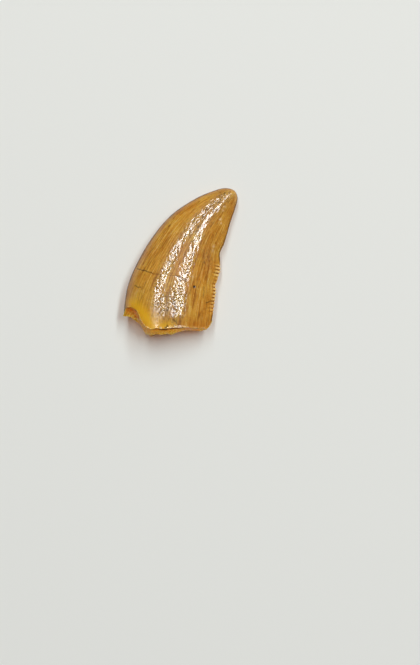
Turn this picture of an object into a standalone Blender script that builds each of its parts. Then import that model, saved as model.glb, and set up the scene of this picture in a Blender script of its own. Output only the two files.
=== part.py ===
"""The crown of a theropod dinosaur's tooth, broken off above the root and lying on its side.

+X points to the serrated rear edge, +Y from the broken base to the tip, and +Z up from the surface
that the tooth rests on. The origin is on that surface, under the middle of the outline.
The crown is one solid. It starts as a UV sphere whose south pole is the middle of the break and
whose north pole is the tip, and each vertex is moved to its place by the functions below.
"""

import math

import bmesh
import bpy
from mathutils import Vector, noise
from numpy import interp

MM = 0.001

# Chords across the crown, from its front edge to its rear edge, in millimetres. The first lies below
# the break, the second joins the two corners of the base, and both edges meet at the tip.
FRONT_EDGE = [
    (-11.1, -15.8),
    (-11.4, -10.6),
    (-10.4, -4.6),
    (-8.35, 0.3),
    (-5.35, 5.3),
    (-1.6, 9.6),
    (2.95, 12.7),
    (6.4, 14.25),
    (8.9, 14.92),
]
REAR_EDGE = [
    (6.1, -15.8),
    (6.5, -11.2),
    (7.1, -6.6),
    (7.65, -2.3),
    (8.3, 1.8),
    (9.25, 5.2),
    (10.12, 8.2),
    (11.02, 10.8),
    (11.48, 12.9),
]
TIP = (10.8, 14.45)

# Thickness of the crown over its width, and the height of the plane between its two faces, on the
# same chords and then at the tip. The plane sinks towards the tip, as the crown rests on its cheek.
FLATNESS = [0.42, 0.405, 0.40, 0.40, 0.415, 0.435, 0.465, 0.52, 0.60, 0.64]
MID_HEIGHT_MM = [3.80, 3.73, 3.46, 3.20, 2.97, 2.74, 2.46, 2.26, 2.12, 2.05]

# The cross-section is a lens: higher crowning is flatter on top, and higher sharpness thins an edge.
# A shallow trough runs up the upper face.
CROWNING = 2.25
FRONT_SHARPNESS = 0.80
REAR_SHARPNESS = 1.12
CREST_SHIFT = 0.10
EDGE_ROUNDING_MM = 0.12
TROUGH_DEPTH_MM = 0.14
TROUGH_PLACE = 0.12
TROUGH_WIDTH = 0.24

# Denticles along the lower half of the rear edge, and the share that wear has left at each height.
DENTICLE_PITCH_MM = 0.69
DENTICLE_COUNT = 16
LOWEST_GAP_Y_MM = -11.35
DENTICLE_NOTCH_MM = 0.17
DENTICLE_GROOVE_MM = 0.12
DENTICLE_LENGTH_MM = 0.80
KEPT_BY_Y_MM = [
    (-12.0, 0.0),
    (-11.0, 0.4),
    (-9.8, 1.0),
    (-5.2, 1.0),
    (-4.2, 0.45),
    (-3.4, 0.45),
    (-2.8, 0.9),
    (-0.9, 0.8),
    (-0.2, 0.0),
]

# Wear along the rear edge: height along Y, how far it stands out, and its half-length.
REAR_WEAR_MM = [(1.8, -0.36, 1.15), (-1.7, 0.30, 1.0), (-4.6, -0.27, 0.75)]

# The break: its outline from above, and how far its upper and lower rims stand back from that by X.
BREAK_OUTLINE_MM = [
    (-11.6, -10.8),
    (-10.0, -11.0),
    (-8.85, -11.7),
    (-7.85, -12.7),
    (-6.85, -14.3),
    (-5.65, -14.8),
    (-4.45, -14.4),
    (-1.65, -14.4),
    (0.55, -13.7),
    (4.0, -13.7),
    (5.2, -13.5),
    (5.95, -12.9),
    (6.5, -11.6),
    (7.2, -9.6),
]
UPPER_CHIP_BY_X_MM = [
    (-11.5, 1.7),
    (-9.4, 2.1),
    (-8.4, 2.3),
    (-7.7, 1.35),
    (-6.2, 1.3),
    (-3.5, 1.05),
    (-1.6, 1.15),
    (0.0, 0.7),
    (3.0, 0.5),
    (5.5, 0.2),
]
LOWER_CHIP_BY_X_MM = [(-11.5, 0.6), (-7.0, 1.0), (-3.0, 0.5), (0.0, 1.1), (3.0, 0.7), (7.0, 0.3)]
CHIP_REACH_MM = 1.0
CHIP_INNER_SPREAD = 0.55
BREAK_MID_MM = 3.75
BREAK_ROUGHNESS_MM = 0.32
BREAK_GRAIN_MM = 1.9

# The hollow of the pulp cavity, whose mouth and floor are shares of the break's section.
PULP_CENTRE_X_MM = -2.4
PULP_MOUTH = 0.52
PULP_FLOOR = 0.16
PULP_DEPTH_MM = 1.5

# The mesh. The collar is the band between the break and the first ring that is square to the crown.
SEGMENTS = 40
REAR_CROWDING = 0.28
BREAK_RINGS = 10
COLLAR_RINGS = 8
COLLAR_TOP_Y_MM = -9.97
RINGS_PER_DENTICLE = 4
PLAIN_RINGS = 26
TIP_CROWDING = 1.35
HALVINGS = 28
SHARP_DEGREES = 35

ENAMEL_COLOUR = (0.47, 0.22, 0.045, 1.0)
ENAMEL_ROUGHNESS = 0.28


def clear_scene():
    for obj in list(bpy.data.objects):
        bpy.data.objects.remove(obj)


def through(knots, place):
    """The value at place, 0 to 1, on a smooth curve through all but the first and last of the knots."""
    along = place * (len(knots) - 3)
    span = min(max(int(along), 0), len(knots) - 4)
    before, start, end, after = knots[span : span + 4]
    f = along - span
    straight = end - before
    bend = 2 * before - 5 * start + 4 * end - after
    twist = 3 * start - before - 3 * end + after
    return 0.5 * (2 * start + straight * f + bend * f**2 + twist * f**3)


def edge_knots(edge, other):
    """Both edges run over the tip into each other, which makes the tip round."""
    points = [Vector(p) for p in [*edge, TIP, other[-1]]]
    return [2 * points[0] - points[1], *points]


def number_knots(values):
    return [2 * values[0] - values[1], *values, values[-2]]


FRONT_KNOTS = edge_knots(FRONT_EDGE, REAR_EDGE)
REAR_KNOTS = edge_knots(REAR_EDGE, FRONT_EDGE)
FLATNESS_KNOTS = number_knots(FLATNESS)
MID_KNOTS = number_knots(MID_HEIGHT_MM)


def on_line(points, x):
    """The height at x of the line through these points."""
    xs, heights = zip(*points)
    return float(interp(x, xs, heights))


def bump(x, centre, width):
    return math.exp(-(((x - centre) / width) ** 2))


def rise(x, low, high):
    """0 at low, 1 at high and smooth between."""
    f = min(1.0, max(0.0, (x - low) / (high - low)))
    return f * f * (3 - 2 * f)


def halve(is_below, low, high):
    """The place between low and high where is_below turns false."""
    for _ in range(HALVINGS):
        middle = (low + high) / 2
        if is_below(middle):
            low = middle
        else:
            high = middle
    return high


def lens(across):
    """Height of a face over its greatest height. across runs from -1 at the front edge to 1 at the rear."""
    shifted = across + CREST_SHIFT * (1 - across * across)
    sharpness = FRONT_SHARPNESS if shifted < 0 else REAR_SHARPNESS
    return max(0.0, 1 - abs(shifted) ** CROWNING) ** sharpness


def gap_between_denticles(y):
    """0 on a denticle and 1 in the gap between two, or less where they are worn."""
    turns = (y - LOWEST_GAP_Y_MM) / DENTICLE_PITCH_MM
    return on_line(KEPT_BY_Y_MM, y) * (0.5 + 0.5 * math.cos(2 * math.pi * turns)) ** 1.5


def crown_point(place, angle):
    """A point of the crown's outside, in millimetres. place runs from 0, below the break, to 1 at the tip."""
    front = through(FRONT_KNOTS, place)
    rear = through(REAR_KNOTS, place)
    width = (rear - front).length
    across = math.cos(angle)
    side = math.sin(angle)
    x, y = front.lerp(rear, (across + 1) / 2)

    height = width * through(FLATNESS_KNOTS, place) / 2 * lens(across)
    height += EDGE_ROUNDING_MM * abs(side) * min(1.0, width)
    if side > 0:
        height -= TROUGH_DEPTH_MM * bump(across, TROUGH_PLACE, TROUGH_WIDTH) * rise(width, 2, 10)

    from_rear = (1 - across) * width / 2
    cut = gap_between_denticles(rear.y) * bump(from_rear, 0, DENTICLE_LENGTH_MM)
    height = max(height - DENTICLE_GROOVE_MM * cut * rise(height, 0.0, 0.3), 0.0)
    x -= DENTICLE_NOTCH_MM * cut
    stands_out = sum(depth * bump(rear.y, centre, size) for centre, depth, size in REAR_WEAR_MM)
    x += stands_out * rise(from_rear, 3.0, 0.0)

    z = through(MID_KNOTS, place) + math.copysign(height, side)
    return Vector((x, y, max(z, 0.0)))


def break_height(x, z, spread):
    """Where the broken face lies along Y. spread runs from 0 in its middle to 1 on its rim."""
    above = (z - BREAK_MID_MM) / CHIP_REACH_MM
    chipped = rise(spread, CHIP_INNER_SPREAD, 1.0)
    y = on_line(BREAK_OUTLINE_MM, x)
    y += on_line(UPPER_CHIP_BY_X_MM, x) * rise(above, 0, 1) * chipped
    y += on_line(LOWER_CHIP_BY_X_MM, x) * rise(-above, 0, 1) * chipped
    roughness = BREAK_ROUGHNESS_MM * rise(spread, 1.15, 0.7)
    y += roughness * noise.noise(Vector((x, z, 3.1)) / BREAK_GRAIN_MM)
    return y + PULP_DEPTH_MM * rise(spread, PULP_MOUTH, PULP_FLOOR)


def rim_place(angle):
    """Where up the crown the break cuts it at this angle."""

    def is_below(place):
        point = crown_point(place, angle)
        return point.y < break_height(point.x, point.z, 1.0)

    return halve(is_below, 0.0, 0.4)


def rear_edge_place(y):
    """Where up the crown its rear edge passes this height along Y."""
    return halve(lambda place: through(REAR_KNOTS, place).y < y, 0.0, 0.9)


def square_places():
    """Places of the rings above the collar: on both flanks of each denticle, then closer towards the tip."""
    step = DENTICLE_PITCH_MM / RINGS_PER_DENTICLE
    heights = [LOWEST_GAP_Y_MM + i * step for i in range(DENTICLE_COUNT * RINGS_PER_DENTICLE + 1)]
    places = [rear_edge_place(y) for y in heights if y > COLLAR_TOP_Y_MM - step / 2]
    left = 1 - places[-1]
    return places + [1 - left * (1 - i / PLAIN_RINGS) ** TIP_CROWDING for i in range(1, PLAIN_RINGS + 1)]


def break_point(rim, ring, angle):
    """A point of the broken face, on this ring of it, which runs from 0 in the middle to BREAK_RINGS."""
    spread = ring / BREAK_RINGS
    middle = Vector((PULP_CENTRE_X_MM, 0.0, BREAK_MID_MM))
    flat = middle.lerp(crown_point(rim, angle), spread)
    return Vector((flat.x, break_height(flat.x, flat.z, spread), flat.z))


def shape_crown(bm, places, ring_count):
    """Moves each vertex of the sphere to its place: the break below, then the collar, then the crown."""
    rims = {}
    for vertex in bm.verts:
        polar = math.acos(max(-1.0, min(1.0, vertex.co.z)))
        ring = ring_count - round(polar / math.pi * ring_count)
        turn = round(math.atan2(-vertex.co.y, vertex.co.x) / (2 * math.pi) * SEGMENTS) % SEGMENTS
        even = 2 * math.pi * turn / SEGMENTS
        angle = even - REAR_CROWDING * math.sin(even)
        if turn not in rims:
            rims[turn] = rim_place(angle)
        up_collar = (ring - BREAK_RINGS) / COLLAR_RINGS
        if up_collar < 0:
            point = break_point(rims[turn], ring, angle)
        elif up_collar < 1:
            point = crown_point(rims[turn] + (places[0] - rims[turn]) * up_collar, angle)
        else:
            point = crown_point(places[ring - BREAK_RINGS - COLLAR_RINGS], angle)
        vertex.co = point * MM


def enamel():
    material = bpy.data.materials.new("fossil_enamel")
    material.use_nodes = True
    shader = material.node_tree.nodes["Principled BSDF"]
    shader.inputs["Base Color"].default_value = ENAMEL_COLOUR
    shader.inputs["Roughness"].default_value = ENAMEL_ROUGHNESS
    shader.inputs["Metallic"].default_value = 0.0
    return material


def make_crown():
    places = square_places()
    ring_count = BREAK_RINGS + COLLAR_RINGS + len(places) - 1
    bm = bmesh.new()
    bmesh.ops.create_uvsphere(bm, u_segments=SEGMENTS, v_segments=ring_count, radius=1.0)
    shape_crown(bm, places, ring_count)
    mesh = bpy.data.meshes.new("tooth_crown")
    bm.to_mesh(mesh)
    bm.free()
    mesh.shade_smooth()
    mesh.set_sharp_from_angle(angle=math.radians(SHARP_DEGREES))
    mesh.materials.append(enamel())
    crown = bpy.data.objects.new("tooth_crown", mesh)
    bpy.context.scene.collection.objects.link(crown)


def main():
    clear_scene()
    make_crown()


main()
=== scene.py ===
import functools
import math

import bmesh
import bpy
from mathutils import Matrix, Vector, noise
from numpy import interp


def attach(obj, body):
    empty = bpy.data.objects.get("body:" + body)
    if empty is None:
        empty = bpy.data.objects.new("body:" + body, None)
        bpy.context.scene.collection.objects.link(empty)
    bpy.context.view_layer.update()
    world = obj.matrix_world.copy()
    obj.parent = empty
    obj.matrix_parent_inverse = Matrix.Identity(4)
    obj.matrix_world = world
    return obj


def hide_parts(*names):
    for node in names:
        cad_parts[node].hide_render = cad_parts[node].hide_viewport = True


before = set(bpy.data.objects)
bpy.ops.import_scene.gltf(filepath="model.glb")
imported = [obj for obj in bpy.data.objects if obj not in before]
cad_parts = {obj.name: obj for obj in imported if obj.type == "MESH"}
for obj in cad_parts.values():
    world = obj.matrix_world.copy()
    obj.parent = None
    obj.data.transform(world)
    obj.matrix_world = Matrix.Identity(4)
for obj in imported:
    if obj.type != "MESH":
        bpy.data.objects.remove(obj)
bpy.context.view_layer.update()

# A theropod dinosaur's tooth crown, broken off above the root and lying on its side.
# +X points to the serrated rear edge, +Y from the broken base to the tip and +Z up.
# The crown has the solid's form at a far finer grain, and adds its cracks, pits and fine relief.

mm = 0.001
scene = bpy.context.scene
print("frame loaded:", len(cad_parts), "node")


# Small helpers

def through(knots, place):
    # the value at place, 0 to 1, on a smooth curve through all but the first and last knots
    along = place * (len(knots) - 3)
    span = min(max(int(along), 0), len(knots) - 4)
    before, start, end, after = knots[span:span + 4]
    f = along - span
    straight = end - before
    bend = 2 * before - 5 * start + 4 * end - after
    twist = 3 * start - before - 3 * end + after
    return 0.5 * (2 * start + straight * f + bend * f ** 2 + twist * f ** 3)


def onLine(points, x):
    xs, heights = zip(*points)
    return float(interp(x, xs, heights))


def bump(x, centre, width):
    return math.exp(-((x - centre) / width) ** 2)


def rise(x, low, high):
    # 0 at low, 1 at high and smooth between
    f = min(1.0, max(0.0, (x - low) / (high - low)))
    return f * f * (3 - 2 * f)


def halve(isBelow, low, high):
    # the place between low and high where isBelow turns false
    for _ in range(28):    # far below a micrometre
        middle = (low + high) / 2
        if isBelow(middle):
            low = middle
        else:
            high = middle
    return high


def offPath(path, x, y):
    # distance in millimetres from a line drawn through these points
    nearest = math.inf
    for (ax, ay), (bx, by) in zip(path, path[1:]):
        dx, dy = bx - ax, by - ay
        f = ((x - ax) * dx + (y - ay) * dy) / (dx * dx + dy * dy)
        f = min(1.0, max(0.0, f))
        nearest = min(nearest, math.hypot(x - ax - f * dx, y - ay - f * dy))
    return nearest


def inSpot(spot, x, y):
    # a soft oval's share in its middle, falling to 0 past its rim
    (cx, cy), (halfX, halfY) = spot["at"], spot["size"]
    return spot["share"] * math.exp(-(((x - cx) / halfX) ** 2 + ((y - cy) / halfY) ** 2))


def strongest(spots, x, y):
    return max(inSpot(spot, x, y) for spot in spots)


# The crown's form, in millimetres. The solid differs only in the upper face's crest and trough,
# and in how deep and how worn its denticles are.

crown = {
    # chords across the crown join the points of its two edges, from below the break to the tip
    "frontEdge": [(-11.1, -15.8), (-11.4, -10.6), (-10.4, -4.6), (-8.35, 0.3), (-5.35, 5.3),
                  (-1.6, 9.6), (2.95, 12.7), (6.4, 14.25), (8.9, 14.92)],
    "rearEdge": [(6.1, -15.8), (6.5, -11.2), (7.1, -6.6), (7.65, -2.3), (8.3, 1.8),
                 (9.25, 5.2), (10.12, 8.2), (11.02, 10.8), (11.48, 12.9)],
    "tip": (10.8, 14.45),
    # thickness over width, and height of the plane between both faces, on each chord and the tip
    "flatness": [0.42, 0.405, 0.40, 0.40, 0.415, 0.435, 0.465, 0.52, 0.60, 0.64],
    "midHeight": [3.80, 3.73, 3.46, 3.20, 2.97, 2.74, 2.46, 2.26, 2.12, 2.05],
    "crowning": 2.25,         # a higher one is flatter on top
    "frontSharpness": 0.80,
    "rearSharpness": 1.12,    # a higher one thins the edge
    "crestShift": 0.10,       # how far the crest lies from the middle, towards the front
    "edgeRounding": 0.12,
    # the upper face, by place up the crown
    "upperCrowning": [(0.2, 2.25), (0.45, 2.1), (0.6, 1.65)],
    "upperCrestShift": [(0.2, 0.16), (0.35, 0.11), (0.5, 0.0), (0.7, -0.07)],
    "troughDepth": [(0.0, 0.08), (0.3, 0.06), (0.5, 0.0)],
    "troughPlace": 0.12,
    "troughWidth": 0.24,
}

denticles = {
    "pitch": 0.69,
    "count": 16,
    "lowestGap": -11.35,
    "notch": 0.19,
    "groove": 0.13,
    "grooveFade": 0.3,        # the thin edge itself has no groove
    "narrowing": 2.2,         # how narrow the gaps are beside the rounded denticles
    # how much wear has left of them, how far they reach on to the faces and how strongly their painted
    # light and shade shows, by Y
    "kept": [(-10.6, 0.0), (-10.1, 0.5), (-9.7, 0.9), (-5.0, 1.0), (-4.5, 0.5), (-3.9, 0.25),
             (-3.2, 0.35), (-2.8, 0.9), (-0.9, 0.85), (-0.4, 0.0)],
    "reach": [(-8.2, 0.80), (-7.6, 0.50), (-3.0, 0.45), (-2.6, 0.85)],
    "paleness": [(-8.2, 0.45), (-7.6, 1.0)],
    "paleIn": 0.2,            # the palest part of their crests, and how far that spreads
    "paleSpread": 0.8,
    "paleFade": 0.2,          # on the broken face
    # wear along the rear edge: height along Y, how far it stands out and half its length
    "wear": [(1.8, -0.36, 1.15), (-1.7, 0.30, 1.0), (-4.6, -0.27, 0.75)],
    "wearReach": 3.0,
}

breakFace = {
    # where the break lies along Y, by X, and how far its upper and lower rim are chipped back
    "outline": [(-11.6, -10.8), (-10.0, -11.0), (-8.85, -11.7), (-7.85, -12.7), (-6.85, -14.3),
                (-5.65, -14.8), (-4.45, -14.4), (-1.65, -14.4), (0.55, -13.7), (4.0, -13.7),
                (5.2, -13.5), (5.95, -12.9), (6.5, -11.6), (7.2, -9.6)],
    "upperChip": [(-11.5, 1.7), (-9.4, 2.1), (-8.4, 2.3), (-7.7, 1.35), (-6.2, 1.3),
                  (-3.5, 1.05), (-1.6, 1.15), (0.0, 0.7), (3.0, 0.5), (5.5, 0.2)],
    "lowerChip": [(-11.5, 0.6), (-7.0, 1.0), (-3.0, 0.5), (0.0, 1.1), (3.0, 0.7), (7.0, 0.3)],
    "chipReach": 1.0,
    "chipInnerSpread": 0.55,  # spreads run from 0 in the middle of the face to 1 on its rim
    "midHeight": 3.75,
    "roughness": 0.32,
    "grain": 1.9,
    "grainSlice": 3.1,        # where the noise is cut
    "roughWithin": 0.7,
    "smoothPast": 1.15,
    "pulpCentreX": -2.4,
    "pulpMouth": 0.52,
    "pulpFloor": 0.16,
    "pulpDepth": 1.5,
    "fillingEdge": (0.58, 0.46),
    "fillingWander": 0.08,
    "fillingGrain": 0.7,
}

# Rings run from the middle of the break to its rim, up the collar, past the denticles to the tip.
fineness = {
    "segments": 400,          # round the crown
    "breakRings": 40,
    "collarRings": 16,
    "collarTop": -9.97,
    "ringsPerDenticle": 7,
    "plainRings": 92,
    "tipCrowding": 1.35,
    "rearCrowding": 0.28,
    "faceCrowding": 0.10,
    "topCrowding": 0.15,
    "rimCrowding": 1.7,
    "highestRim": 0.4,        # the rim and the denticles lie below these places, 0 to 1
    "highestDenticle": 0.9,
    "softened": (-0.12, 0.08),    # the strip along the rim that is rounded
    "softenings": 2,
    "softening": 0.5,
}


def edgeKnots(edge, other):
    # both edges run over the tip into each other, which makes the tip round
    points = [Vector(p) for p in [*edge, crown["tip"], other[-1]]]
    return [2 * points[0] - points[1], *points]


def numberKnots(values):
    return [2 * values[0] - values[1], *values, values[-2]]


frontKnots = edgeKnots(crown["frontEdge"], crown["rearEdge"])
rearKnots = edgeKnots(crown["rearEdge"], crown["frontEdge"])
flatnessKnots = numberKnots(crown["flatness"])
midKnots = numberKnots(crown["midHeight"])


def lens(across, crestShift, crowning):
    # height of a face over its greatest height, from -1 at the front edge to 1 at the rear
    shifted = across + crestShift * (1 - across * across)
    sharpness = crown["frontSharpness"] if shifted < 0 else crown["rearSharpness"]
    return max(0.0, 1 - abs(shifted) ** crowning) ** sharpness


def gapBetweenDenticles(y):
    turns = (y - denticles["lowestGap"]) / denticles["pitch"]
    wave = 0.5 + 0.5 * math.cos(2 * math.pi * turns)
    return onLine(denticles["kept"], y) * wave ** denticles["narrowing"]


@functools.lru_cache(maxsize=4096)
def chordAt(place):
    # the chord across the crown at a place from 0, below the break, to 1 at the tip
    front, rear = through(frontKnots, place), through(rearKnots, place)
    width = (rear - front).length
    return front, rear, width, width * through(flatnessKnots, place) / 2, through(midKnots, place)


def crownPoint(place, angle):
    # a point of the crown's outside
    front, rear, width, thickness, midHeight = chordAt(place)
    across = math.cos(angle)
    side = math.sin(angle)
    x, y = front.lerp(rear, (across + 1) / 2)

    crestShift, crowning = crown["crestShift"], crown["crowning"]
    if side > 0:
        crestShift += (onLine(crown["upperCrestShift"], place) - crestShift) * side
        crowning += (onLine(crown["upperCrowning"], place) - crowning) * side
    height = thickness * lens(across, crestShift, crowning)
    height += crown["edgeRounding"] * abs(side) * min(1.0, width)
    if side > 0:
        trough = bump(across, crown["troughPlace"], crown["troughWidth"])
        height -= onLine(crown["troughDepth"], place) * trough

    fromRear = (1 - across) * width / 2
    cut = gapBetweenDenticles(rear.y) * bump(fromRear, 0, onLine(denticles["reach"], rear.y))
    groove = denticles["groove"] * cut * rise(height, 0.0, denticles["grooveFade"])
    height = max(height - groove, 0.0)
    x -= denticles["notch"] * cut
    standsOut = sum(depth * bump(rear.y, centre, size) for centre, depth, size in denticles["wear"])
    x += standsOut * rise(fromRear, denticles["wearReach"], 0.0)

    z = midHeight + math.copysign(height, side)
    return Vector((x, y, max(z, 0.0)))


def breakHeight(x, z, spread):
    # where the broken face lies along Y
    above = (z - breakFace["midHeight"]) / breakFace["chipReach"]
    chipped = rise(spread, breakFace["chipInnerSpread"], 1.0)
    y = onLine(breakFace["outline"], x)
    y += onLine(breakFace["upperChip"], x) * rise(above, 0, 1) * chipped
    y += onLine(breakFace["lowerChip"], x) * rise(-above, 0, 1) * chipped
    roughness = breakFace["roughness"] * rise(spread, breakFace["smoothPast"], breakFace["roughWithin"])
    y += roughness * noise.noise(Vector((x, z, breakFace["grainSlice"])) / breakFace["grain"])
    return y + breakFace["pulpDepth"] * rise(spread, breakFace["pulpMouth"], breakFace["pulpFloor"])


def rimPlace(angle):
    def isBelow(place):
        point = crownPoint(place, angle)
        return point.y < breakHeight(point.x, point.z, 1.0)
    return halve(isBelow, 0.0, fineness["highestRim"])


def rearEdgePlace(y):
    return halve(lambda place: through(rearKnots, place).y < y, 0.0, fineness["highestDenticle"])


def squarePlaces():
    # places of the rings above the collar: evenly past the denticles, then closer towards the tip
    step = denticles["pitch"] / fineness["ringsPerDenticle"]
    count = denticles["count"] * fineness["ringsPerDenticle"]
    heights = [denticles["lowestGap"] + i * step for i in range(count + 1)]
    places = [rearEdgePlace(y) for y in heights if y > fineness["collarTop"] - step / 2]
    left = 1 - places[-1]
    rings = fineness["plainRings"]
    crowding = fineness["tipCrowding"]
    return places + [1 - left * (1 - i / rings) ** crowding for i in range(1, rings + 1)]


def turnAngle(turn):
    # segments stand closer at the rear edge and on the faces, above all on the upper one
    even = 2 * math.pi * turn / fineness["segments"]
    return (even - fineness["rearCrowding"] * math.sin(even)
            + fineness["faceCrowding"] * math.sin(2 * even)
            + fineness["topCrowding"] * (math.cos(even) - 1))


# Marks of life, burial and handling, in millimetres on the crown seen from above

marks = {
    "cracks": [
        {"path": [(-8.6, -1.4), (-6.9, -1.9), (-5.05, -2.6)], "width": 0.10, "depth": 0.05,
         "shade": 0.9},
        {"path": [(-5.05, -2.6), (-2.65, -2.85), (-0.65, -3.0)], "width": 0.09, "depth": 0.04,
         "shade": 0.45},
        {"path": [(-0.65, -3.0), (0.75, -3.6), (1.35, -3.9)], "width": 0.12, "depth": 0.05,
         "shade": 0.8},
        {"path": [(-8.9, -4.75), (-8.3, -5.1), (-7.7, -5.2)], "width": 0.11, "depth": 0.04,
         "shade": 0.8},
        {"path": [(5.2, -8.2), (5.7, -8.05), (6.2, -7.85)], "width": 0.11, "depth": 0.04, "shade": 0.8},
        {"path": [(5.1, 9.5), (5.4, 10.3), (5.65, 11.0)], "width": 0.10, "depth": 0.03, "shade": 0.6},
        {"path": [(4.7, -5.1), (4.75, -6.2), (4.6, -7.2)], "width": 0.09, "depth": 0.02, "shade": 0.5},
    ],
    "lowerCracks": [
        {"path": [(-9.6, -1.2), (-7.2, -2.4), (-4.8, -2.2), (-2.5, -3.1)], "width": 0.10,
         "depth": 0.05, "shade": 0.8},
        {"path": [(1.0, 3.2), (2.9, 3.9), (4.4, 3.6), (5.6, 4.2)], "width": 0.10, "depth": 0.04,
         "shade": 0.7},
    ],
    "crackWander": 0.12,
    "crackWanderSize": 0.6,
    "crackSlice": 7.7,        # where the noise is cut
    "pits": [
        {"at": (2.85, -5.08), "radius": 0.24, "depth": 0.08, "shade": 1.7},
        {"at": (-2.35, 7.75), "radius": 0.15, "depth": 0.04, "shade": 0.8},
        {"at": (-2.15, 7.1), "radius": 0.12, "depth": 0.03, "shade": 0.8},
    ],
    # grains that stick to the enamel, painted pale as a highlight for their glints
    "beads": [
        {"at": (8.05, 8.4), "radius": 0.22, "height": 0.12},
        {"at": (8.15, 7.66), "radius": 0.17, "height": 0.09},
        {"at": (8.9, 10.95), "radius": 0.2, "height": 0.07},
        {"at": (8.55, 10.2), "radius": 0.2, "height": 0.07},
        {"at": (6.65, 3.05), "radius": 0.24, "height": 0.08},
        {"at": (6.5, 2.2), "radius": 0.20, "height": 0.06},
        {"at": (10.2, 13.6), "radius": 0.18, "height": 0.06},
    ],
    "beadPaintedGlint": 0.5,
    "lineLean": 1.2,          # how far the growth lines lean away from the front edge
    "leanTop": 0.4,           # up to this place the lean grows
    "leanReach": 0.7,
    # pitted enamel, which breaks a highlight into specks
    "pittedPaths": [
        {"path": [(9.3, 13.3), (7.0, 10.7), (5.8, 9.1), (4.6, 7.4), (3.95, 5.7), (3.1, 4.1),
                  (2.6, 2.4), (1.95, 0.7), (1.35, -0.9), (1.1, -2.6), (0.3, -4.3), (-0.2, -5.9),
                  (-0.4, -7.6), (-0.8, -12.0)], "width": 1.25, "share": 0.75},
        {"path": [(8.95, 13.4), (7.6, 12.4), (5.95, 10.7), (3.95, 8.7), (2.8, 7.4), (1.6, 5.7),
                  (0.45, 4.1), (-0.55, 2.4), (-1.2, 0.7), (-2.05, -0.9), (-2.9, -2.6),
                  (-4.05, -4.3), (-4.4, -5.9)], "width": 1.05, "share": 0.8},
    ],
    "pittedSpots": [
        {"at": (-3.1, -8.7), "size": (2.1, 2.5), "share": 1.5},
        {"at": (-0.5, -8.2), "size": (1.6, 3.8), "share": 1.1},
        {"at": (5.4, 0.9), "size": (1.2, 2.4), "share": 0.45},
        {"at": (-2.6, -13.0), "size": (2.2, 0.7), "share": 0.9},
    ],
    "pittedBelow": 0.35,      # all over the underside
    # finely frosted enamel, which dims the highlight
    "frostedSpots": [
        {"at": (-4.6, -10.0), "size": (1.5, 2.0), "share": 0.8},
        {"at": (-2.2, -9.3), "size": (1.2, 2.2), "share": 0.7},
    ],
    # painted glow: the broken corner is painted yellow where light would come through it
    "paintedGlow": {"path": [(-10.0, -8.5), (-8.3, -9.2), (-6.9, -10.6), (-5.7, -12.3), (-4.4, -13.4),
                      (-2.4, -13.2)], "width": 1.35},
    # redder amber
    "reddening": [
        {"at": (-10.3, -9.7), "size": (1.3, 1.0), "share": 1.0},
        {"at": (3.2, -12.6), "size": (2.6, 0.9), "share": 1.0},
        {"at": (6.7, -6.5), "size": (1.0, 4.0), "share": 0.5},
        {"at": (5.8, -0.6), "size": (1.5, 2.6), "share": 0.5},
        {"at": (10.1, 10.3), "size": (1.3, 3.0), "share": 0.6},
        {"at": (-2.0, 6.2), "size": (1.6, 2.0), "share": 0.3},
    ],
}

# The fine relief, in millimetres. A size is a noise's wavelength, and an edge is where it sets in.
relief = {
    "waveSize": 2.6,          # slow unevenness, which makes the highlights wander
    "waveHeight": 0.016,
    # the enamel's grain, far higher where it is pitted
    "grainSize": 0.42,
    "grainHeight": 0.003,
    "pittedHeight": 0.043,
    "finerGrain": 2.1,        # half as high again, this many times finer
    # small pits that hold dark mineral, their dark also painted shade for the gaps between specks of
    # highlight
    "speckSize": 0.36,
    "speckEdge": (0.14, 0.34),
    "speckDepth": 0.03,
    "speckPaintedShade": 0.95,
    "darkestPaintedSpeck": 0.8,
    # lengthwise lines, in numbers over half the crown's width
    "striaAcross": 15.0,
    "striaAlong": 1.5,
    "striaHeight": 0.007,
    "striaTop": 0.85,
    # the broken face is plain on its very rim and rough further in
    "chipSize": 0.55,
    "chipHeight": 0.09,
    "crumbSize": 0.24,
    "crumbHeight": 0.035,
    "roughIn": (0.02, 0.25),
    # a dark seam inside the enamel's rim, by X
    "seam": [(-9.0, 0.0), (-8.6, 0.9), (-7.9, 0.9), (-7.4, 0.3), (-6.0, 0.2), (-4.6, 1.0)],
    "seamIn": 0.36,
    "seamWidth": 0.17,
    "seamDepth": 0.10,
    "seamGapSize": 0.8,
    "seamGapEdge": (-0.5, 0.1),
    # the enamel stands up a little along the break
    "lipHeight": 0.08,
    "lipIn": 0.16,
    "lipWidth": 0.11,
    "lipGrain": 0.9,
    "lipMean": 0.6,
    "lipSpread": 0.8,
    # and the face falls away towards it, over a reach by X
    "baseSink": 0.16,
    "baseSinkReach": [(-6.0, 5.5), (-3.5, 5.0), (-1.5, 2.4), (6.0, 2.4)],
    # pale bruises along the break, by X, partly a painted highlight for the rim's glint line
    "bruisingAndGlint": [(-5.2, 0.0), (-4.2, 1.0), (-2.8, 0.6), (1.8, 0.7), (2.4, 0.2), (5.0, 0.2),
                 (6.0, 0.6)],
    "bruisingBelow": 0.3,
    "bruiseSize": 0.45,
    "bruiseEdge": (-0.15, 0.20),
    "bruiseIn": (-0.38, -0.12),
    # a faint furrow inside the front edge
    "frontLineIn": 0.34,
    "frontLineWidth": 0.12,
    "frontLineDepth": 0.022,
    # painted shade: dark lines along the front edge, and along the rear edge by Y
    "frontShadeLine": 0.80,
    "frontShadeLineEdge": (0.42, 0.12),
    "rearShadeLine": [(-12.8, 0.75), (-10.5, 0.5), (-10.0, 0.0), (-0.7, 0.0), (0.2, 0.65)],
    "rearShadeLineEdge": (0.45, 0.12),
    "lineWander": [(0.14, 0.9), (0.07, 0.3)],    # amount and size
    "overEdge": 0.2,          # the way over an edge's rounding, on to a face
    "flatSpotFade": 0.25,
}


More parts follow.
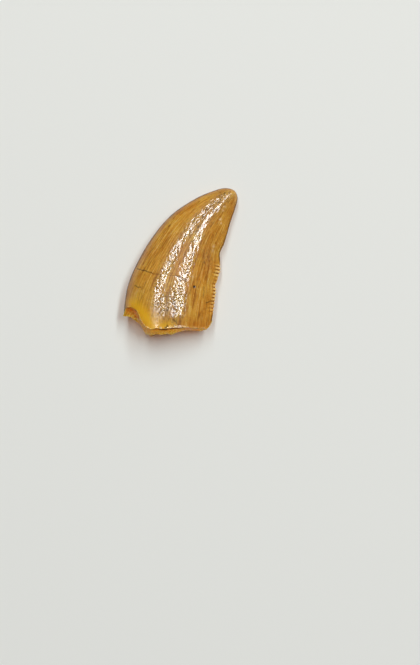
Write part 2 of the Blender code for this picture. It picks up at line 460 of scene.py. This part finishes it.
def crackDepth(cracks, x, y):
    # how deep and how dark the cracks are here
    depth, shade = 0.0, 0.0
    for crack in cracks:
        here = Vector((x, y, marks["crackSlice"]))
        wander = marks["crackWander"] * noise.noise(here / marks["crackWanderSize"])
        near = bump(offPath(crack["path"], x + wander, y + wander), 0, crack["width"])
        depth = max(depth, crack["depth"] * near)
        shade = max(shade, crack["shade"] * near)
    return depth, shade


def pittedShare(x, y, isUpper):
    # 0 on smooth enamel and about 1 where it is most pitted
    if not isUpper:
        return marks["pittedBelow"]
    share = 0.0
    for line in marks["pittedPaths"]:
        share = max(share, line["share"] * bump(offPath(line["path"], x, y), 0, line["width"]))
    return max(share, strongest(marks["pittedSpots"], x, y))


def shapeCrown(bm, layers):
    places = squarePlaces()
    breakRings, collarRings = fineness["breakRings"], fineness["collarRings"]
    ringCount = breakRings + collarRings + len(places) - 1
    segments = fineness["segments"]
    bmesh.ops.create_uvsphere(bm, u_segments=segments, v_segments=ringCount, radius=1.0)
    angles = [turnAngle(turn) for turn in range(segments)]
    rims = [rimPlace(angle) for angle in angles]
    middle = Vector((breakFace["pulpCentreX"], 0.0, breakFace["midHeight"]))
    for vertex in bm.verts:
        polar = math.acos(max(-1.0, min(1.0, vertex.co.z)))
        ring = ringCount - round(polar / math.pi * ringCount)
        turn = round(math.atan2(-vertex.co.y, vertex.co.x) / (2 * math.pi) * segments) % segments
        angle, rim = angles[turn], rims[turn]
        place, inward, hollow = rim, 0.0, 0.0
        if ring < breakRings:
            spread = 1 - (1 - ring / breakRings) ** fineness["rimCrowding"]
            rimPoint = crownPoint(rim, angle)
            flat = middle.lerp(rimPoint, spread)
            point = Vector((flat.x, breakHeight(flat.x, flat.z, spread), flat.z))
            inward = math.hypot(flat.x - rimPoint.x, flat.z - rimPoint.z)
            wander = breakFace["fillingWander"] * noise.noise(flat / breakFace["fillingGrain"])
            hollow = rise(spread + wander, *breakFace["fillingEdge"])
        elif ring < breakRings + collarRings:
            up = (ring - breakRings) / collarRings
            place = rim + (places[0] - rim) * up
            point = crownPoint(place, angle)
            inward = -(point - crownPoint(rim, angle)).length
        else:
            place = places[ring - breakRings - collarRings]
            point = crownPoint(place, angle)
            inward = -(point - crownPoint(rim, angle)).length
        rear, width = chordAt(place)[1:3]
        fromRear = (1 - math.cos(angle)) * width / 2
        overEdge = relief["overEdge"] * abs(math.sin(angle))
        fromFront = (1 + math.cos(angle)) * width / 2 + overEdge
        kept = onLine(denticles["kept"], rear.y)
        vertex.co = point
        lean = marks["lineLean"] * min(place, marks["leanTop"]) * math.sin(angle)
        lean *= rise(-math.cos(angle), 0.0, marks["leanReach"])
        vertex[layers["growth"]] = (math.cos(angle + lean), math.sin(angle + lean), place)
        vertex[layers["inward"]] = inward
        vertex[layers["hollow"]] = hollow
        vertex[layers["fromFront"]] = fromFront
        # painted light and shade: 1 on a denticle's crest, painted pale, and -1 in a gap, painted dark
        denticleLightAndShade = (kept - 2 * gapBetweenDenticles(rear.y)) * onLine(denticles["paleness"], rear.y)
        denticleLightAndShade *= bump(fromRear, denticles["paleIn"],
                      denticles["paleSpread"] * onLine(denticles["reach"], rear.y))
        vertex[layers["denticleLightAndShade"]] = denticleLightAndShade * rise(inward, denticles["paleFade"], 0.0)
        wander = sum(amount * noise.noise(point / size) for amount, size in relief["lineWander"])
        # painted shade: a dark line along the front edge, and along the rear edge by Y
        frontShadeLine = relief["frontShadeLine"] * rise(fromFront + wander, *relief["frontShadeLineEdge"])
        rearShadeLine = onLine(relief["rearShadeLine"], rear.y)
        rearShadeLine *= rise(fromRear + overEdge + wander, *relief["rearShadeLineEdge"])
        vertex[layers["edgeShadeLine"]] = max(frontShadeLine, rearShadeLine)
    print("crown shaped:", len(bm.verts), "points")


def softenRim(bm, layers):
    # the broken edge is rounded a little, as handling leaves it
    outer, inner = fineness["softened"]
    nearRim = [v for v in bm.verts if outer < v[layers["inward"]] < inner]
    for _ in range(fineness["softenings"]):
        bmesh.ops.smooth_vert(bm, verts=nearRim, factor=fineness["softening"],
                              use_axis_x=True, use_axis_y=True, use_axis_z=True)


def roughenCrown(bm, layers):
    # moves each point along its normal by all the fine relief it has
    bm.normal_update()
    moved = []
    for vertex in bm.verts:
        x, y, z = vertex.co
        isUpper = vertex.normal.z > 0
        across, side, place = vertex[layers["growth"]]
        inward = vertex[layers["inward"]]
        pitted = crack = paleWithPaintedGlint = 0.0
        height = relief["waveHeight"] * noise.noise(vertex.co / relief["waveSize"])
        if inward > 0:
            chips = relief["chipHeight"] * noise.noise(vertex.co / relief["chipSize"])
            crumbs = relief["crumbHeight"] * noise.noise(vertex.co / relief["crumbSize"])
            height += (chips + crumbs) * rise(inward, *relief["roughIn"])
            crack = onLine(relief["seam"], x) * bump(inward, relief["seamIn"], relief["seamWidth"])
            crack *= rise(noise.noise(vertex.co / relief["seamGapSize"]), *relief["seamGapEdge"])
            height -= relief["seamDepth"] * crack
        else:
            pitted = pittedShare(x, y, isUpper)
            speck = pitted * rise(noise.noise(vertex.co / relief["speckSize"]), *relief["speckEdge"])
            grain = relief["grainHeight"] + relief["pittedHeight"] * pitted
            height += grain * noise.noise(vertex.co / relief["grainSize"])
            height += grain / 2 * noise.noise(vertex.co / relief["grainSize"] * relief["finerGrain"])
            lines = Vector((across, side, place * relief["striaAlong"])) * relief["striaAcross"]
            height += relief["striaHeight"] * noise.noise(lines) * rise(place, 1.0, relief["striaTop"])
            ragged = relief["lipMean"]
            ragged += relief["lipSpread"] * noise.noise(vertex.co / relief["lipGrain"])
            ragged *= onLine(relief["bruisingAndGlint"], x)
            height += relief["lipHeight"] * ragged * bump(inward, -relief["lipIn"], relief["lipWidth"])
            height -= relief["baseSink"] * rise(inward, -onLine(relief["baseSinkReach"], x), 0.0)
            cracks = marks["cracks"] if isUpper else marks["lowerCracks"]
            depth, crack = crackDepth(cracks, x, y)
            height -= depth + relief["speckDepth"] * speck
            # the specks' dark: dark mineral, and painted shade for the gaps between specks of highlight
            crack = max(crack, min(relief["darkestPaintedSpeck"], relief["speckPaintedShade"] * speck))
            furrow = bump(vertex[layers["fromFront"]], relief["frontLineIn"], relief["frontLineWidth"])
            height -= relief["frontLineDepth"] * furrow
            if isUpper:
                for pit in marks["pits"]:
                    sunk = bump(math.dist(pit["at"], (x, y)), 0, pit["radius"])
                    height -= pit["depth"] * sunk
                    crack = max(crack, min(1.0, pit["shade"] * sunk))
                for bead in marks["beads"]:
                    raised = bump(math.dist(bead["at"], (x, y)), 0, bead["radius"])
                    height += bead["height"] * raised
                    # painted highlight: the grains are painted pale for their glints
                    paleWithPaintedGlint = max(paleWithPaintedGlint, marks["beadPaintedGlint"] * raised)
        vertex[layers["pitted"]] = pitted
        vertex[layers["crack"]] = crack
        vertex[layers["frosted"]] = strongest(marks["frostedSpots"], x, y) if isUpper else 0.0
        # painted glow: yellow where light would come through the broken corner
        paintedGlow = marks["paintedGlow"]
        vertex[layers["paintedGlow"]] = bump(offPath(paintedGlow["path"], x, y), 0, paintedGlow["width"])
        # pale along the break: partly bruised enamel, partly a painted highlight for the rim's glint
        # line
        bruisedAndGlinting = onLine(relief["bruisingAndGlint"], x) * (1.0 if isUpper else relief["bruisingBelow"])
        bruisedAndGlinting *= rise(noise.noise(vertex.co / relief["bruiseSize"]), *relief["bruiseEdge"])
        vertex[layers["paleWithPaintedGlint"]] = max(paleWithPaintedGlint, bruisedAndGlinting * rise(inward, *relief["bruiseIn"]))
        vertex[layers["reddening"]] = strongest(marks["reddening"], x, y)
        height *= rise(z, 0.0, relief["flatSpotFade"])    # the flat spot that it lies on stays flat
        moved.append(vertex.co + vertex.normal * height)
    for vertex, point in zip(bm.verts, moved):
        vertex.co = Vector((point.x, point.y, max(point.z, 0.0))) * mm
    print("relief added")


# Materials

def linear(code):
    # an sRGB hex colour turned linear
    shares = [int(code[i:i + 2], 16) / 255 for i in (1, 3, 5)]
    return (*[s / 12.92 if s <= 0.04045 else ((s + 0.055) / 1.055) ** 2.4 for s in shares], 1.0)


def addNode(tree, kind, values=None, links=None, stops=None, **settings):
    # adds a node with its settings, its inputs' values and links, and a ramp's colour stops
    node = tree.nodes.new(kind)
    for name, setting in settings.items():
        setattr(node, name, setting)
    for name, value in (values or {}).items():
        node.inputs[name].default_value = value
    for name, socket in (links or {}).items():
        tree.links.new(socket, node.inputs[name])
    for i, (place, code) in enumerate(stops or []):
        elements = node.color_ramp.elements
        element = elements[i] if i < 2 else elements.new(place)
        element.position = place
        element.color = linear(code)
    return node


shadowColour = "#b08226"


def letLightThrough(tree, shader):
    # the lamps' light that passes through translucent amber warms the shadow
    ray = addNode(tree, "ShaderNodeLightPath").outputs["Is Shadow Ray"]
    tint = addNode(tree, "ShaderNodeBsdfTransparent", {"Color": linear(shadowColour)})
    both = addNode(tree, "ShaderNodeMixShader",
                   links={0: ray, 1: shader.outputs["BSDF"], 2: tint.outputs["BSDF"]})
    tree.links.new(both.outputs["Shader"], tree.nodes["Material Output"].inputs["Surface"])


def perMetre(size):
    # a texture's scale from the size of its features in millimetres
    return 1 / (size * mm)


# sockets of a colour Mix node
factor, colourA, colourB, mixed = 0, 6, 7, 2

# Sizes are in millimetres, and a share is how far a colour covers what lies under it.
enamel = {
    "ior": 1.63,              # apatite
    "cloudSize": 4.0,
    "cloudColours": [(0.32, "#ecd2b8"), (0.68, "#ffffff")],
    "linesPerHalfWidth": 24.0,
    "linesPerLength": 9.0,
    "lineRoughness": 0.72,
    "lineColours": [(0.37, "#ac6c18"), (0.67, "#f6d88e"), (0.46, "#d29c34"), (0.55, "#e0b24a")],
    "mottleSize": 0.55,
    "mottleShare": 0.25,
    "thinLinesPerHalfWidth": 13.0,
    "thinLinesPerLength": 5.0,
    "thinLineEdge": (0.035, 0.01),
    "thinLineColour": "#7c4208",
    "thinLineShare": 0.6,
    # painted sheen on the pitted enamel
    "paintedSheenColour": "#80927a",
    "paintedSheenShare": 0.28,
    # painted glow where light comes through the chipped corner
    "paintedGlowColour": "#f4bc1c",
    "paintedGlowShare": 0.8,
    "redColour": "#ba6a14",
    "redShare": 0.55,
    # painted highlight on the denticles' crests, and painted shade in their gaps
    "crestHighlightColour": "#f2cf84",
    "crestEdge": (0.15, 0.8),
    "crestHighlightShare": 0.75,
    "gapShadeColour": "#7a4210",
    "gapEdge": (0.1, -0.5),
    "gapShadeShare": 0.9,
    # painted shade: deeper amber near the front edge, against its pale reflection
    "frontShadeColour": "#9c5c10",
    "frontEdge": (1.5, 0.5),
    "frontShadeShare": 0.4,
    # painted shade line along both edges
    "edgeShadeLineColour": "#402c0c",
    # pale rim colour: partly bruising, partly a painted highlight for its glint
    "bruiseAndGlintColour": "#f2dba8",
    "crackColour": "#4a3010",
    "deepCrackColour": "#160a02",
    "deepCrackEdge": 0.82,
    "smoothRoughness": 0.20,
    "pittedRoughness": 0.08,
    "frostedRoughness": 0.19,     # added to the others, and so is the next
    "deepCrackRoughness": 0.7,
    "bumpSize": 0.24,
    "bumpHeight": 0.006,
    "smoothBump": 0.25,           # strength where the enamel isn't pitted
    "translucency": 0.25,
    "lightReach": (1.0, 0.45, 0.12),    # red goes furthest
    "lightScale": 0.5,
}


def makeEnamel():
    # Fossil enamel: apatite stained amber in iron-rich sand, worn smooth and naturally glossy.
    # It gives deep warm colour with fine lengthwise lines, and highlights that break into specks.
    material = bpy.data.materials.new("fossilEnamelAmber")
    material.use_nodes = True
    tree = material.node_tree
    shader = tree.nodes["Principled BSDF"]
    place = addNode(tree, "ShaderNodeTexCoord").outputs["Object"]
    growth = addNode(tree, "ShaderNodeAttribute", attribute_name="growth").outputs["Vector"]
    marked = {name: addNode(tree, "ShaderNodeAttribute", attribute_name=name).outputs["Fac"]
              for name in ("pitted", "frosted", "crack", "paintedGlow", "reddening", "denticleLightAndShade", "fromFront",
                           "edgeShadeLine", "paleWithPaintedGlint")}

    # slow cloudiness
    clouds = addNode(tree, "ShaderNodeTexNoise",
                     {"Scale": perMetre(enamel["cloudSize"]), "Detail": 4.0}, {"Vector": place})
    cloudShade = addNode(tree, "ShaderNodeValToRGB", links={"Fac": clouds.outputs["Fac"]},
                         stops=enamel["cloudColours"])

    # lengthwise lines that draw together at the tip
    linesAcross, thinAcross = enamel["linesPerHalfWidth"], enamel["thinLinesPerHalfWidth"]
    along = addNode(tree, "ShaderNodeVectorMath",
                    {1: (linesAcross, linesAcross, enamel["linesPerLength"])}, {0: growth},
                    operation="MULTIPLY")
    lines = addNode(tree, "ShaderNodeTexNoise",
                    {"Scale": 1.0, "Detail": 5.0, "Roughness": enamel["lineRoughness"]},
                    {"Vector": along.outputs["Vector"]})
    thin = addNode(tree, "ShaderNodeVectorMath",
                   {1: (thinAcross, thinAcross, enamel["thinLinesPerLength"])}, {0: growth},
                   operation="MULTIPLY")
    wander = addNode(tree, "ShaderNodeTexNoise", {"Scale": 1.0, "Detail": 2.0},
                     {"Vector": thin.outputs["Vector"]})
    offLine = addNode(tree, "ShaderNodeMath", {1: 0.5}, {0: wander.outputs["Fac"]},
                      operation="SUBTRACT")
    near = addNode(tree, "ShaderNodeMath", links={0: offLine.outputs[0]}, operation="ABSOLUTE")
    farthest, nearest = enamel["thinLineEdge"]
    thinLine = addNode(tree, "ShaderNodeMapRange",
                       {"From Min": farthest, "From Max": nearest, "To Max": enamel["thinLineShare"]},
                       {"Value": near.outputs[0]})
    mottle = addNode(tree, "ShaderNodeTexNoise",
                     {"Scale": perMetre(enamel["mottleSize"]), "Detail": 4.0, "Roughness": 0.7},
                     {"Vector": place})
    shade = addNode(tree, "ShaderNodeMix", {0: enamel["mottleShare"]},
                    {2: lines.outputs["Fac"], 3: mottle.outputs["Fac"]})
    lineShade = addNode(tree, "ShaderNodeValToRGB", links={"Fac": shade.outputs[0]},
                        stops=enamel["lineColours"])
    grown = addNode(tree, "ShaderNodeMix", {colourB: linear(enamel["thinLineColour"])},
                    {factor: thinLine.outputs[0], colourA: lineShade.outputs["Color"]},
                    data_type="RGBA")
    base = addNode(tree, "ShaderNodeMix", {factor: 1.0},
                   {colourA: grown.outputs[mixed], colourB: cloudShade.outputs["Color"]},
                   data_type="RGBA", blend_type="MULTIPLY")

    # painted sheen: pitted enamel, where the highlights lie, is tinted grey-green like their reflection
    paintedSheenFactor = addNode(tree, "ShaderNodeMapRange", {"To Max": enamel["paintedSheenShare"]},
                        {"Value": marked["pitted"]})
    sheenTinted = addNode(tree, "ShaderNodeMix", {colourB: linear(enamel["paintedSheenColour"])},
                       {factor: paintedSheenFactor.outputs[0], colourA: base.outputs[mixed]},
                       data_type="RGBA")

    # a painted yellow glow where the light comes through the thin chipped corner, and redder amber
    paintedGlowFactor = addNode(tree, "ShaderNodeMath", {1: enamel["paintedGlowShare"]}, {0: marked["paintedGlow"]},
                  operation="MULTIPLY")
    paintedGlowMix = addNode(tree, "ShaderNodeMix", {colourB: linear(enamel["paintedGlowColour"])},
                      {factor: paintedGlowFactor.outputs[0], colourA: sheenTinted.outputs[mixed]}, data_type="RGBA")
    reddened = addNode(tree, "ShaderNodeMath", {1: enamel["redShare"]}, {0: marked["reddening"]},
                       operation="MULTIPLY")
    warm = addNode(tree, "ShaderNodeMix", {colourB: linear(enamel["redColour"])},
                   {factor: reddened.outputs[0], colourA: paintedGlowMix.outputs[mixed]},
                   data_type="RGBA")

    # painted light and shade: denticles are painted paler on their crests and brown in the gaps between
    low, high = enamel["crestEdge"]
    crests = addNode(tree, "ShaderNodeMapRange",
                     {"From Min": low, "From Max": high, "To Max": enamel["crestHighlightShare"]},
                     {"Value": marked["denticleLightAndShade"]})
    high, low = enamel["gapEdge"]
    gaps = addNode(tree, "ShaderNodeMapRange",
                   {"From Min": high, "From Max": low, "To Max": enamel["gapShadeShare"]},
                   {"Value": marked["denticleLightAndShade"]})
    paleWithPaintedGlint = addNode(tree, "ShaderNodeMix", {colourB: linear(enamel["crestHighlightColour"])},
                   {factor: crests.outputs[0], colourA: warm.outputs[mixed]}, data_type="RGBA")
    toothed = addNode(tree, "ShaderNodeMix", {colourB: linear(enamel["gapShadeColour"])},
                      {factor: gaps.outputs[0], colourA: paleWithPaintedGlint.outputs[mixed]}, data_type="RGBA")

    # painted shade: deeper amber towards the front edge, which holds back its pale reflection, then a
    # painted grey-brown shade line along both edges
    inner, outer = enamel["frontEdge"]
    edge = addNode(tree, "ShaderNodeMapRange",
                   {"From Min": inner, "From Max": outer, "To Max": enamel["frontShadeShare"]},
                   {"Value": marked["fromFront"]}, interpolation_type="SMOOTHSTEP")
    frontShaded = addNode(tree, "ShaderNodeMix", {colourB: linear(enamel["frontShadeColour"])},
                       {factor: edge.outputs[0], colourA: toothed.outputs[mixed]},
                       data_type="RGBA")
    shadeLined = addNode(tree, "ShaderNodeMix", {colourB: linear(enamel["edgeShadeLineColour"])},
                    {factor: marked["edgeShadeLine"], colourA: frontShaded.outputs[mixed]},
                    data_type="RGBA")

    # the enamel is pale along the break, partly bruised and partly a painted highlight of its glinting
    # rim, and grains stuck to it are painted pale as highlights
    bruisedAndGlinting = addNode(tree, "ShaderNodeMix", {colourB: linear(enamel["bruiseAndGlintColour"])},
                      {factor: marked["paleWithPaintedGlint"], colourA: shadeLined.outputs[mixed]}, data_type="RGBA")

    # dark mineral in the cracks and pits, and on the specks partly painted shade
    cracked = addNode(tree, "ShaderNodeMix", {colourB: linear(enamel["crackColour"])},
                      {factor: marked["crack"], colourA: bruisedAndGlinting.outputs[mixed]},
                      data_type="RGBA")
    deep = addNode(tree, "ShaderNodeMapRange", {"From Min": enamel["deepCrackEdge"], "From Max": 1.0},
                   {"Value": marked["crack"]})
    final = addNode(tree, "ShaderNodeMix", {colourB: linear(enamel["deepCrackColour"])},
                    {factor: deep.outputs[0], colourA: cracked.outputs[mixed]}, data_type="RGBA")
    tree.links.new(final.outputs[mixed], shader.inputs["Base Color"])

    polish = addNode(tree, "ShaderNodeMapRange",
                     {"To Min": enamel["smoothRoughness"], "To Max": enamel["pittedRoughness"]},
                     {"Value": marked["pitted"]})
    frosting = addNode(tree, "ShaderNodeMath", {1: enamel["frostedRoughness"]},
                       {0: marked["frosted"], 2: polish.outputs[0]}, operation="MULTIPLY_ADD")
    roughness = addNode(tree, "ShaderNodeMath", {1: enamel["deepCrackRoughness"]},
                        {0: deep.outputs[0], 2: frosting.outputs[0]}, operation="MULTIPLY_ADD")
    tree.links.new(roughness.outputs[0], shader.inputs["Roughness"])

    fine = addNode(tree, "ShaderNodeTexNoise", {"Scale": perMetre(enamel["bumpSize"]), "Detail": 2.0},
                   {"Vector": place})
    strength = addNode(tree, "ShaderNodeMapRange", {"To Min": enamel["smoothBump"], "To Max": 1.0},
                       {"Value": marked["pitted"]})
    bumped = addNode(tree, "ShaderNodeBump", {"Distance": enamel["bumpHeight"] * mm},
                     {"Height": fine.outputs["Fac"], "Strength": strength.outputs[0]})
    tree.links.new(bumped.outputs["Normal"], shader.inputs["Normal"])

    shader.inputs["IOR"].default_value = enamel["ior"]
    shader.inputs["Subsurface Weight"].default_value = enamel["translucency"]
    shader.inputs["Subsurface Radius"].default_value = enamel["lightReach"]
    shader.inputs["Subsurface Scale"].default_value = enamel["lightScale"] * mm
    letLightThrough(tree, shader)
    return material


dentine = {
    "ior": 1.58,
    "specular": 0.2,
    "roughness": 0.42,
    "layerSpacing": 0.45,
    "layerColours": ("#e89a20", "#fcd068"),
    "layerContrast": (0.1, 0.9),
    "wanderSize": 0.9,        # the layers wander in and out
    "wander": 0.6,
    "junctionEdge": (1.05, 0.65),
    "junctionColour": "#844c08",
    "junctionShare": 0.6,
    # painted golden glow where light comes through the chipped corner
    "paintedGlowColour": "#eca420",
    "paintedGlowShare": 0.6,
    "redColour": "#c47c28",
    "redShare": 0.8,
    "sandSize": 0.45,
    "sandColours": [(0.38, "#7c4e22"), (0.62, "#b4864e")],
    "grainSize": 0.3,
    "grainColours": [(0.35, "#c8a468"), (0.65, "#ffffff")],
    "grainShare": 0.5,
    "grainHeight": 0.02,
    "seamColour": "#3a2008",
    "enamelThickness": 0.15,
    "rimEdge": (1.3, 0.8),    # times that thickness
    # the rim's pale colour is partly bruising, partly a painted highlight for its glint
    "rimColours": ("#c07c1c", "#f4dca4"),    # sound and bruised
    "translucency": 0.8,
    "lightReach": (1.0, 0.60, 0.20),
    "lightScale": 8.0,
}


def makeDentine():
    # Fossil dentine: mineral-filled tubules, broken rough, with growth layers that follow the rim.
    # It gives a glowing orange-brown break, partly a painted golden glow, inside a thin honey line of
    # enamel, and a dull filling.
    material = bpy.data.materials.new("fossilDentineBroken")
    material.use_nodes = True
    tree = material.node_tree
    shader = tree.nodes["Principled BSDF"]
    place = addNode(tree, "ShaderNodeTexCoord").outputs["Object"]
    marked = {name: addNode(tree, "ShaderNodeAttribute", attribute_name=name).outputs["Fac"]
              for name in ("inward", "paintedGlow", "reddening", "paleWithPaintedGlint", "crack", "hollow")}

    # growth layers
    uneven = addNode(tree, "ShaderNodeTexNoise",
                     {"Scale": perMetre(dentine["wanderSize"]), "Detail": 3.0}, {"Vector": place})
    wandering = addNode(tree, "ShaderNodeMath", {1: dentine["wander"]},
                        {0: uneven.outputs["Fac"], 2: marked["inward"]}, operation="MULTIPLY_ADD")
    layers = addNode(tree, "ShaderNodeMath", {1: 2 * math.pi / dentine["layerSpacing"]},
                     {0: wandering.outputs[0]}, operation="MULTIPLY")
    wave = addNode(tree, "ShaderNodeMath", links={0: layers.outputs[0]}, operation="SINE")
    low, high = dentine["layerContrast"]
    layerShade = addNode(tree, "ShaderNodeMapRange", {"From Min": -1.0, "To Min": low, "To Max": high},
                         {"Value": wave.outputs[0]})
    dark, light = dentine["layerColours"]
    layered = addNode(tree, "ShaderNodeMix", {colourA: linear(dark), colourB: linear(light)},
                      {factor: layerShade.outputs[0]}, data_type="RGBA")

    # browner towards the enamel, a painted golden glow where the light comes through, and redder in
    # spots
    inner, outer = dentine["junctionEdge"]
    junction = addNode(tree, "ShaderNodeMapRange",
                       {"From Min": inner, "From Max": outer, "To Max": dentine["junctionShare"]},
                       {"Value": wandering.outputs[0]}, interpolation_type="SMOOTHSTEP")
    joined = addNode(tree, "ShaderNodeMix", {colourB: linear(dentine["junctionColour"])},
                     {factor: junction.outputs[0], colourA: layered.outputs[mixed]},
                     data_type="RGBA")
    paintedGoldFactor = addNode(tree, "ShaderNodeMath", {1: dentine["paintedGlowShare"]}, {0: marked["paintedGlow"]},
                     operation="MULTIPLY")
    paintedGold = addNode(tree, "ShaderNodeMix", {colourB: linear(dentine["paintedGlowColour"])},
                     {factor: paintedGoldFactor.outputs[0], colourA: joined.outputs[mixed]}, data_type="RGBA")
    redder = addNode(tree, "ShaderNodeMath", {1: dentine["redShare"]}, {0: marked["reddening"]},
                     operation="MULTIPLY")
    reddened = addNode(tree, "ShaderNodeMix", {colourB: linear(dentine["redColour"])},
                       {factor: redder.outputs[0], colourA: paintedGold.outputs[mixed]},
                       data_type="RGBA")

    # the pulp hollow is filled with brown sand
    sand = addNode(tree, "ShaderNodeTexNoise", {"Scale": perMetre(dentine["sandSize"]), "Detail": 2.0},
                   {"Vector": place})
    sandShade = addNode(tree, "ShaderNodeValToRGB", links={"Fac": sand.outputs["Fac"]},
                        stops=dentine["sandColours"])
    hollow = addNode(tree, "ShaderNodeMix",
                     links={factor: marked["hollow"], colourA: reddened.outputs[mixed],
                            colourB: sandShade.outputs["Color"]}, data_type="RGBA")
    grain = addNode(tree, "ShaderNodeTexNoise",
                    {"Scale": perMetre(dentine["grainSize"]), "Detail": 3.0}, {"Vector": place})
    grainShade = addNode(tree, "ShaderNodeValToRGB", links={"Fac": grain.outputs["Fac"]},
                         stops=dentine["grainColours"])
    grained = addNode(tree, "ShaderNodeMix", {factor: dentine["grainShare"]},
                      {colourA: hollow.outputs[mixed], colourB: grainShade.outputs["Color"]},
                      data_type="RGBA", blend_type="MULTIPLY")

    # a dark seam, and the enamel's rim outside it
    seam = addNode(tree, "ShaderNodeMix", {colourB: linear(dentine["seamColour"])},
                   {factor: marked["crack"], colourA: grained.outputs[mixed]}, data_type="RGBA")
    inner, outer = [dentine["enamelThickness"] * times for times in dentine["rimEdge"]]
    rim = addNode(tree, "ShaderNodeMapRange", {"From Min": inner, "From Max": outer},
                  {"Value": marked["inward"]})
    sound, bruisedAndGlinting = dentine["rimColours"]
    rimShade = addNode(tree, "ShaderNodeMix", {colourA: linear(sound), colourB: linear(bruisedAndGlinting)},
                       {factor: marked["paleWithPaintedGlint"]}, data_type="RGBA")
    rimmed = addNode(tree, "ShaderNodeMix",
                     links={factor: rim.outputs[0], colourA: seam.outputs[mixed],
                            colourB: rimShade.outputs[mixed]}, data_type="RGBA")
    tree.links.new(rimmed.outputs[mixed], shader.inputs["Base Color"])

    bumped = addNode(tree, "ShaderNodeBump", {"Distance": dentine["grainHeight"] * mm, "Strength": 1.0},
                     {"Height": grain.outputs["Fac"]})
    tree.links.new(bumped.outputs["Normal"], shader.inputs["Normal"])
    shader.inputs["Roughness"].default_value = dentine["roughness"]
    shader.inputs["IOR"].default_value = dentine["ior"]
    shader.inputs["Specular IOR Level"].default_value = dentine["specular"]
    shader.inputs["Subsurface Weight"].default_value = dentine["translucency"]
    shader.inputs["Subsurface Radius"].default_value = dentine["lightReach"]
    shader.inputs["Subsurface Scale"].default_value = dentine["lightScale"] * mm
    letLightThrough(tree, shader)
    return material


def makeTooth():
    bm = bmesh.new()
    layers = {name: bm.verts.layers.float.new(name)
              for name in ("inward", "fromFront", "denticleLightAndShade", "pitted", "crack", "paintedGlow", "reddening",
                           "edgeShadeLine", "paleWithPaintedGlint", "hollow", "frosted")}
    layers["growth"] = bm.verts.layers.float_vector.new("growth")
    shapeCrown(bm, layers)
    softenRim(bm, layers)
    roughenCrown(bm, layers)
    for face in bm.faces:
        face.smooth = True
        face.material_index = int(any(v[layers["inward"]] > 0 for v in face.verts))
    mesh = bpy.data.meshes.new("amberCrown")
    bm.to_mesh(mesh)
    bm.free()
    mesh.materials.append(makeEnamel())
    mesh.materials.append(makeDentine())
    tooth = bpy.data.objects.new("amberCrown", mesh)
    scene.collection.objects.link(tooth)
    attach(tooth, "root")
    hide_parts("tooth_crown")
    print("crown made:", len(mesh.polygons), "faces")


makeTooth()


# Floor, light and camera

studio = {
    "floorSize": 3.0,         # metres, as the lamps' numbers are
    "floorSink": 0.02,        # millimetres below the tooth
    "floorColour": "#e4e5e0",
    "floorRoughness": 0.9,
    "floorSpecular": 0.1,
    "roomColour": "#f4f7fb",
    "roomStrength": 0.10,
    "lampHeight": 1.50,
    "lampY": 0.93,
    "lampLength": 1.86,
    # two strips make the two streaks on the enamel, and a wide dim panel fills between them
    "lamps": [
        {"name": "strip0", "x": -0.20, "width": 0.09, "watts": 13.8},
        {"name": "strip1", "x": 0.70, "width": 0.26, "watts": 27.0},
        {"name": "panel", "x": 0.25, "width": 0.80, "watts": 2.2},
    ],
    # the camera looks straight down from here, in millimetres
    "cameraAt": (5.95, -14.1, 203.0),
    "sensorSize": 36,
    "viewDistance": 200,
    "viewHeight": 133,        # what the frame's height covers at that distance
    "nearestSeen": 0.01,
}


def makeFloor():
    # Matt pale board, with nothing on it to draw the eye
    bm = bmesh.new()
    bmesh.ops.create_grid(bm, x_segments=1, y_segments=1, size=studio["floorSize"] / 2)
    bmesh.ops.translate(bm, verts=bm.verts, vec=(0, 0, -studio["floorSink"] * mm))
    mesh = bpy.data.meshes.new("floor")
    bm.to_mesh(mesh)
    bm.free()
    material = bpy.data.materials.new("mattBoard")
    material.use_nodes = True
    shader = material.node_tree.nodes["Principled BSDF"]
    shader.inputs["Base Color"].default_value = linear(studio["floorColour"])
    shader.inputs["Roughness"].default_value = studio["floorRoughness"]
    shader.inputs["Specular IOR Level"].default_value = studio["floorSpecular"]
    mesh.materials.append(material)
    floor = bpy.data.objects.new("floor", mesh)
    scene.collection.objects.link(floor)


def addLamp(name, x, width, watts):
    # a long soft lamp that hangs over the tooth and shines straight down
    light = bpy.data.lights.new(name, "AREA")
    light.shape = "RECTANGLE"
    light.size = width
    light.size_y = studio["lampLength"]
    light.energy = watts
    lamp = bpy.data.objects.new(name, light)
    lamp.location = (x, studio["lampY"], studio["lampHeight"])
    lamp.visible_camera = False
    scene.collection.objects.link(lamp)


def makeStudio():
    makeFloor()
    world = bpy.data.worlds.new("paleRoom")
    world.use_nodes = True
    background = world.node_tree.nodes["Background"]
    background.inputs["Color"].default_value = linear(studio["roomColour"])
    background.inputs["Strength"].default_value = studio["roomStrength"]
    scene.world = world
    for lamp in studio["lamps"]:
        addLamp(**lamp)
    scene.view_settings.view_transform = "Standard"

    camera = bpy.data.cameras.new("camera")
    camera.sensor_width = studio["sensorSize"]
    camera.lens = studio["sensorSize"] * studio["viewDistance"] / studio["viewHeight"]
    camera.clip_start = studio["nearestSeen"]
    viewer = bpy.data.objects.new("camera", camera)
    viewer.location = Vector(studio["cameraAt"]) * mm
    scene.collection.objects.link(viewer)
    scene.camera = viewer
    print("studio ready")


makeStudio()
